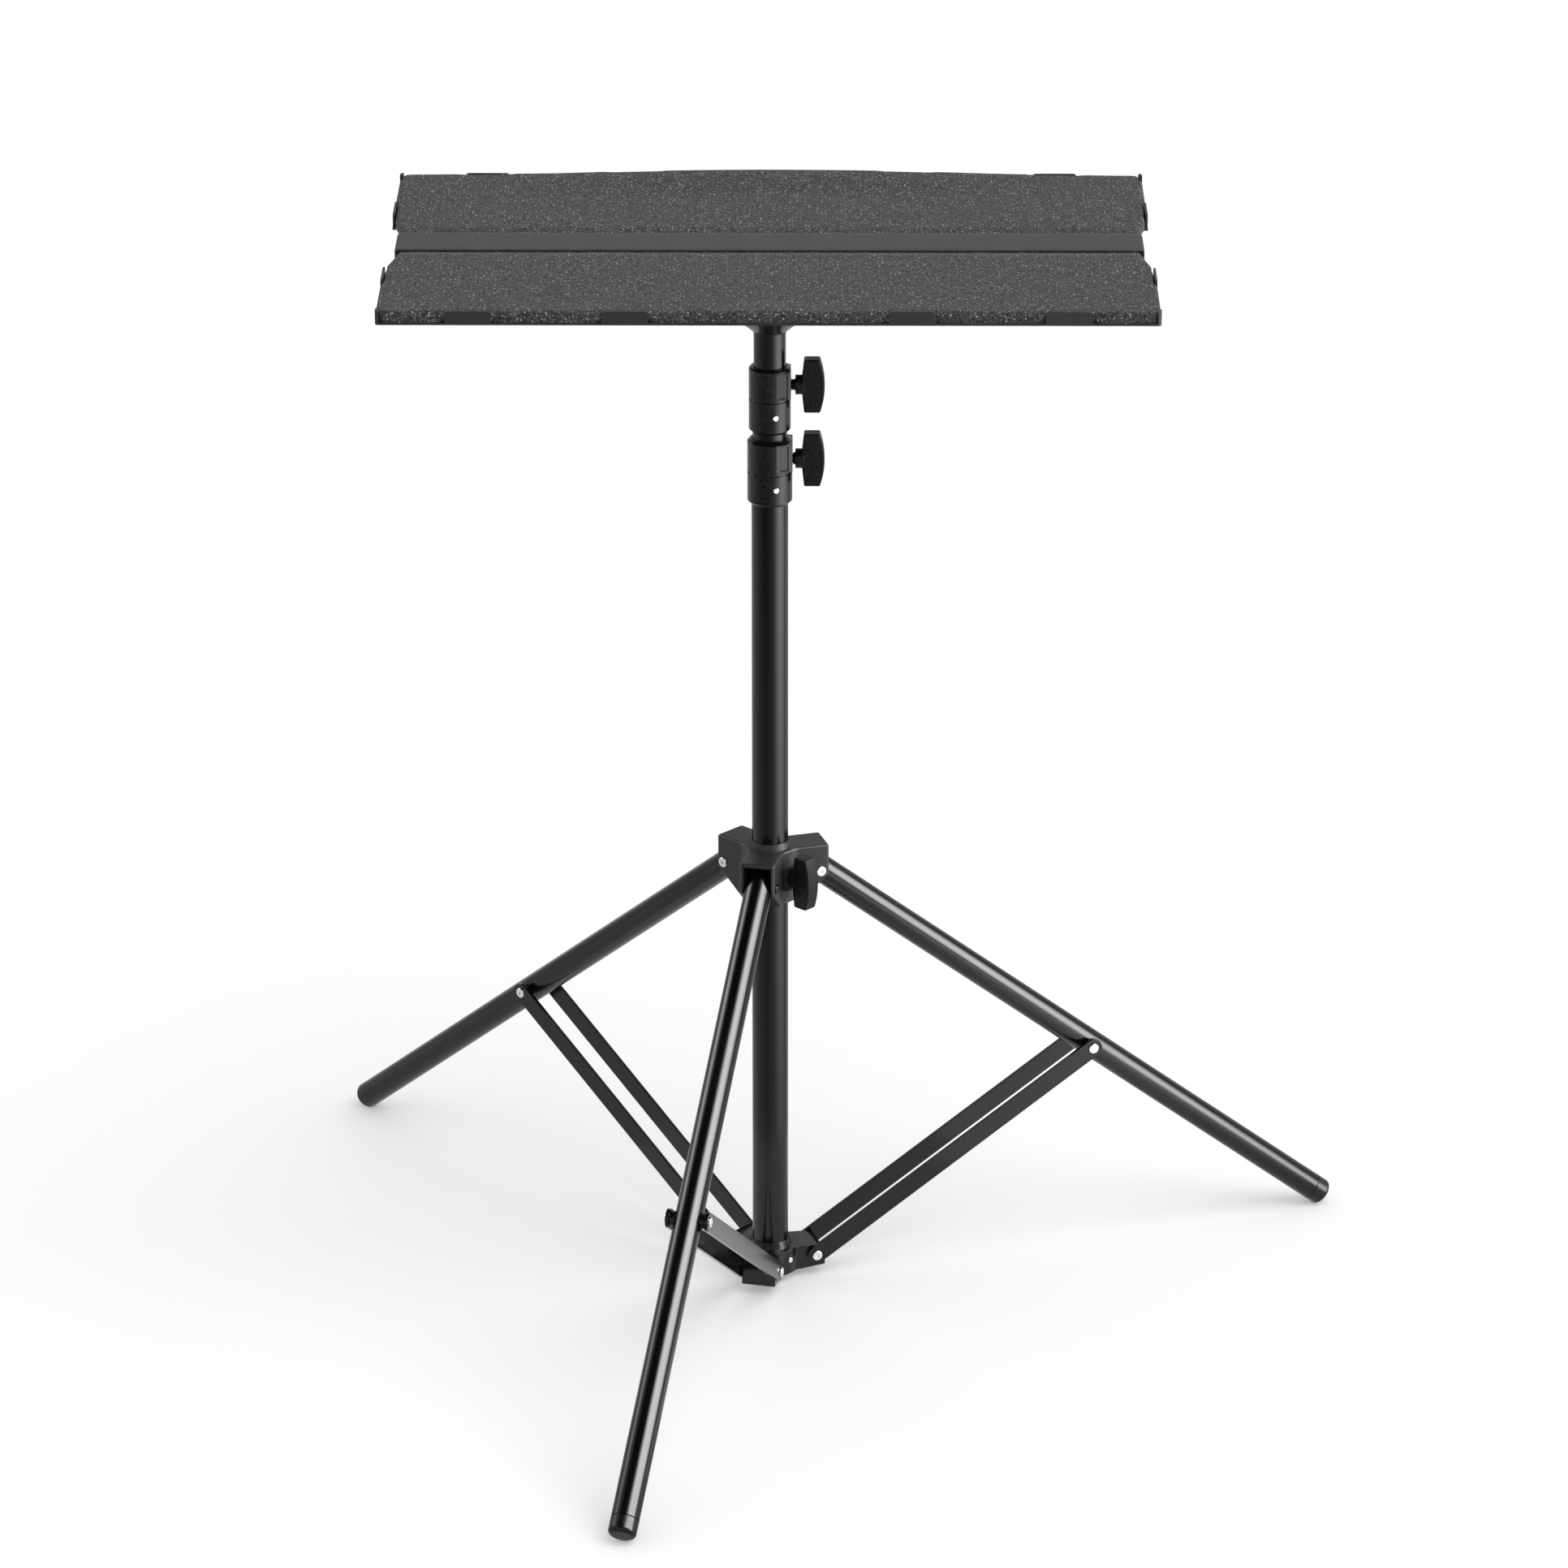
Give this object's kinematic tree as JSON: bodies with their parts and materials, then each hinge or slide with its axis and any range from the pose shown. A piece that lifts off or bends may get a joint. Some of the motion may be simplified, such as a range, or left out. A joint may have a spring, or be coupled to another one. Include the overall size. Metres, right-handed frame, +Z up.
{
  "type": "portable projector stand",
  "caption": "Tripod stand with a telescoping pole, clamp collars, folding strutted legs and a foam-lined sheet-metal tray with an elastic strap, for carrying a projector.",
  "frame": {"origin": "on the pole's axis at floor level", "axes": "+Z up along the pole, +X to the right seen from the front, +Y to the back"},
  "size_m": [0.7121, 0.7005, 0.7635],
  "materials": {
    "black_paint": "satin black powder coat",
    "black_plastic": "fine-textured moulded black plastic",
    "knob_plastic": "moulded black plastic",
    "foot_rubber": "matte black rubber",
    "foam": "dark grey speckled foam mat",
    "elastic": "woven elastic webbing",
    "rivet_steel": "bright zinc-plated rivets"
  },
  "bodies": {
    "pole": {"main_tube": "black_paint", "lower_collar": "black_plastic", "lower_collar_rivet": "rivet_steel", "bottom_hub": "black_plastic", "bottom_hub_rivet": "rivet_steel", "front_base_pin": "rivet_steel", "right_base_pin": "rivet_steel", "left_base_pin": "rivet_steel"},
    "lower_clamp": {"lower_knob": "knob_plastic"},
    "middle_section": {"middle_tube": "black_paint", "upper_collar": "black_plastic", "upper_collar_rivet": "rivet_steel"},
    "upper_clamp": {"upper_knob": "knob_plastic"},
    "top_section": {"top_tube": "black_paint"},
    "tray_head": {"tray_socket": "black_plastic", "tray": "black_paint", "foam_mat": "foam", "strap": "elastic"},
    "sliding_hub": {"leg_hub": "black_plastic", "front_hub_pin": "rivet_steel", "right_hub_pin": "rivet_steel", "left_hub_pin": "rivet_steel"},
    "hub_clamp": {"hub_knob": "knob_plastic"},
    "front_leg_unit": {"front_leg": "black_paint", "front_foot_cap": "foot_rubber", "front_leg_pin": "black_plastic"},
    "front_strut_unit": {"front_strut_left_bar": "black_paint", "front_strut_right_bar": "black_paint", "front_strut_rivets": "rivet_steel"},
    "right_leg_unit": {"right_leg": "black_paint", "right_foot_cap": "foot_rubber", "right_leg_pin": "black_plastic"},
    "right_strut_unit": {"right_strut_left_bar": "black_paint", "right_strut_right_bar": "black_paint", "right_strut_rivets": "rivet_steel"},
    "left_leg_unit": {"left_leg": "black_paint", "left_foot_cap": "foot_rubber", "left_leg_pin": "black_plastic"},
    "left_strut_unit": {"left_strut_left_bar": "black_paint", "left_strut_right_bar": "black_paint", "left_strut_rivets": "rivet_steel"}
  },
  "joints": [
    {"name": "middle_slide", "type": "slide", "parent": "pole", "child": "middle_section", "axis": [0, 0, 1], "range_m": [0, 0.38]},
    {"name": "top_slide", "type": "slide", "parent": "middle_section", "child": "top_section", "axis": [0, 0, 1], "range_m": [-0.015, 0.38]},
    {"name": "tray_swivel", "type": "hinge", "parent": "top_section", "child": "tray_head", "pos_m": [0, 0, 0.74], "axis": [0, 0, 1], "continuous": true},
    {"name": "hub_slide", "type": "slide", "parent": "pole", "child": "sliding_hub", "axis": [0, 0, 1], "range_m": [0, 0.207]},
    {"name": "lower_knob_turn", "type": "hinge", "parent": "pole", "child": "lower_clamp", "pos_m": [0.015, 0, 0.6099], "axis": [1, 0, 0], "continuous": true},
    {"name": "upper_knob_turn", "type": "hinge", "parent": "middle_section", "child": "upper_clamp", "pos_m": [0.014, 0, 0.6623], "axis": [1, 0, 0], "continuous": true},
    {"name": "hub_knob_turn", "type": "hinge", "parent": "sliding_hub", "child": "hub_clamp", "pos_m": [0.01458, -0.01369, 0.30884], "axis": [0.729, -0.6845, 0], "continuous": true},
    {"name": "front_leg_fold", "type": "hinge", "parent": "sliding_hub", "child": "front_leg_unit", "pos_m": [-0.00754, -0.03213, 0.30884], "axis": [0.9736, -0.2284, 0], "range_deg": [0, 51.64]},
    {"name": "front_strut_fold", "type": "hinge", "parent": "pole", "child": "front_strut_unit", "pos_m": [-0.00685, -0.02921, 0.0162], "axis": [-0.9736, 0.2284, 0], "range_deg": [0, 56.01]},
    {"name": "right_leg_fold", "type": "hinge", "parent": "sliding_hub", "child": "right_leg_unit", "pos_m": [0.03159, 0.00954, 0.30884], "axis": [-0.289, 0.9573, 0], "range_deg": [0, 51.64]},
    {"name": "right_strut_fold", "type": "hinge", "parent": "pole", "child": "right_strut_unit", "pos_m": [0.02872, 0.00867, 0.0162], "axis": [0.289, -0.9573, 0], "range_deg": [0, 56.01]},
    {"name": "left_leg_fold", "type": "hinge", "parent": "sliding_hub", "child": "left_leg_unit", "pos_m": [-0.02406, 0.02259, 0.30884], "axis": [-0.6845, -0.729, 0], "range_deg": [0, 51.64]},
    {"name": "left_strut_fold", "type": "hinge", "parent": "pole", "child": "left_strut_unit", "pos_m": [-0.02187, 0.02054, 0.0162], "axis": [0.6845, 0.729, 0], "range_deg": [0, 56.01]}
  ],
  "couplings": [
    {"joint": "front_leg_fold", "follows": "hub_slide", "rad_per_m": 4.3526},
    {"joint": "front_strut_fold", "follows": "hub_slide", "rad_per_m": 4.7208},
    {"joint": "right_leg_fold", "follows": "hub_slide", "rad_per_m": 4.3526},
    {"joint": "right_strut_fold", "follows": "hub_slide", "rad_per_m": 4.7208},
    {"joint": "left_leg_fold", "follows": "hub_slide", "rad_per_m": 4.3526},
    {"joint": "left_strut_fold", "follows": "hub_slide", "rad_per_m": 4.7208}
  ]
}
